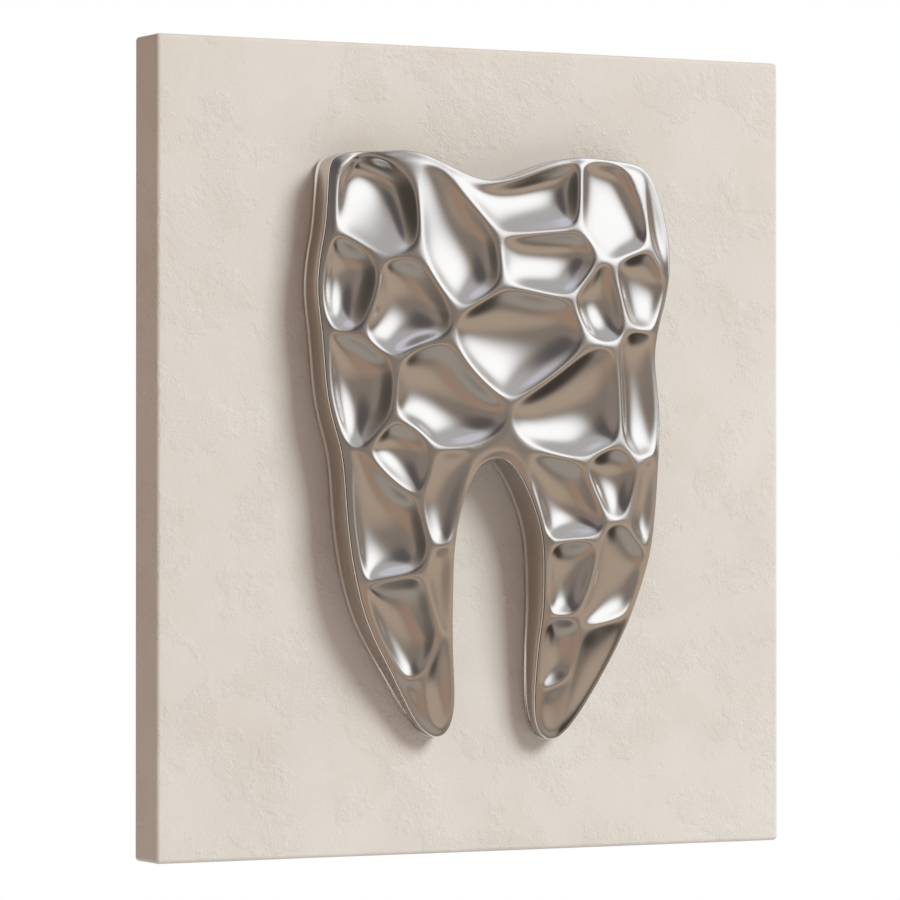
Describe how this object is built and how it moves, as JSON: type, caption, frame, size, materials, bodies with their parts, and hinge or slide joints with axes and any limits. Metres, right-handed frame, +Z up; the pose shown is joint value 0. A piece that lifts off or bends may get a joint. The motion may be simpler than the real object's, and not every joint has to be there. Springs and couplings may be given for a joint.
{
  "type": "tooth wall relief",
  "caption": "Upright plastered wall panel carrying a polished metal molar in relief, its two-rooted body a net of ribs round smooth hollows, with swinging hanger rings behind.",
  "frame": {"origin": "centre of the panel's back, on the wall plane, on the back of the centre rail", "axes": "+X to the viewer's right, +Y from the front into the wall, +Z up; the front faces -Y"},
  "size_m": [0.7, 0.1012, 0.8],
  "materials": {
    "plaster": "fine matt plaster, beige",
    "polished_metal": "polished casting, soft mirror",
    "fibreboard": "sanded wood-fibre board",
    "timber": "planed softwood, unpainted",
    "zinc_plate": "zinc-plated sheet",
    "bright_steel": "bright zinc-plated steel"
  },
  "bodies": {
    "panel": {"plaster_coat": "plaster", "face_board": "fibreboard", "left_stile": "timber", "right_stile": "timber", "top_rail": "timber", "bottom_rail": "timber", "centre_rail": "timber", "hanging_rail": "timber", "frame_screw_1": "bright_steel", "frame_screw_2": "bright_steel", "frame_screw_3": "bright_steel", "frame_screw_4": "bright_steel", "frame_screw_5": "bright_steel", "frame_screw_6": "bright_steel", "frame_screw_7": "bright_steel", "frame_screw_8": "bright_steel", "frame_screw_9": "bright_steel", "frame_screw_10": "bright_steel", "frame_screw_11": "bright_steel", "frame_screw_12": "bright_steel", "tooth_shell": "polished_metal", "tooth_back_plate": "zinc_plate", "plate_screw_1": "bright_steel", "plate_screw_2": "bright_steel", "plate_screw_3": "bright_steel", "plate_screw_4": "bright_steel", "plate_screw_5": "bright_steel", "plate_screw_6": "bright_steel", "mount_stud_1": "bright_steel", "mount_stud_2": "bright_steel", "mount_stud_3": "bright_steel", "mount_stud_4": "bright_steel", "stud_washer_1": "zinc_plate", "stud_washer_2": "zinc_plate", "stud_washer_3": "zinc_plate", "stud_washer_4": "zinc_plate", "stud_nut_1": "zinc_plate", "stud_nut_2": "zinc_plate", "stud_nut_3": "zinc_plate", "stud_nut_4": "zinc_plate", "left_hanger_strap": "zinc_plate", "right_hanger_strap": "zinc_plate", "left_hanger_screw_1": "zinc_plate", "left_hanger_screw_2": "zinc_plate", "right_hanger_screw_1": "zinc_plate", "right_hanger_screw_2": "zinc_plate"},
    "left_ring": {"left_hanger_ring": "bright_steel"},
    "right_ring": {"right_hanger_ring": "bright_steel"}
  },
  "joints": [
    {"name": "left_ring_swing", "type": "hinge", "parent": "panel", "child": "left_ring", "pos_m": [-0.2, -0.01305, 0.3], "axis": [1, 0, 0], "range_deg": [0, 180]},
    {"name": "right_ring_swing", "type": "hinge", "parent": "panel", "child": "right_ring", "pos_m": [0.2, -0.01305, 0.3], "axis": [1, 0, 0], "range_deg": [0, 180]}
  ]
}
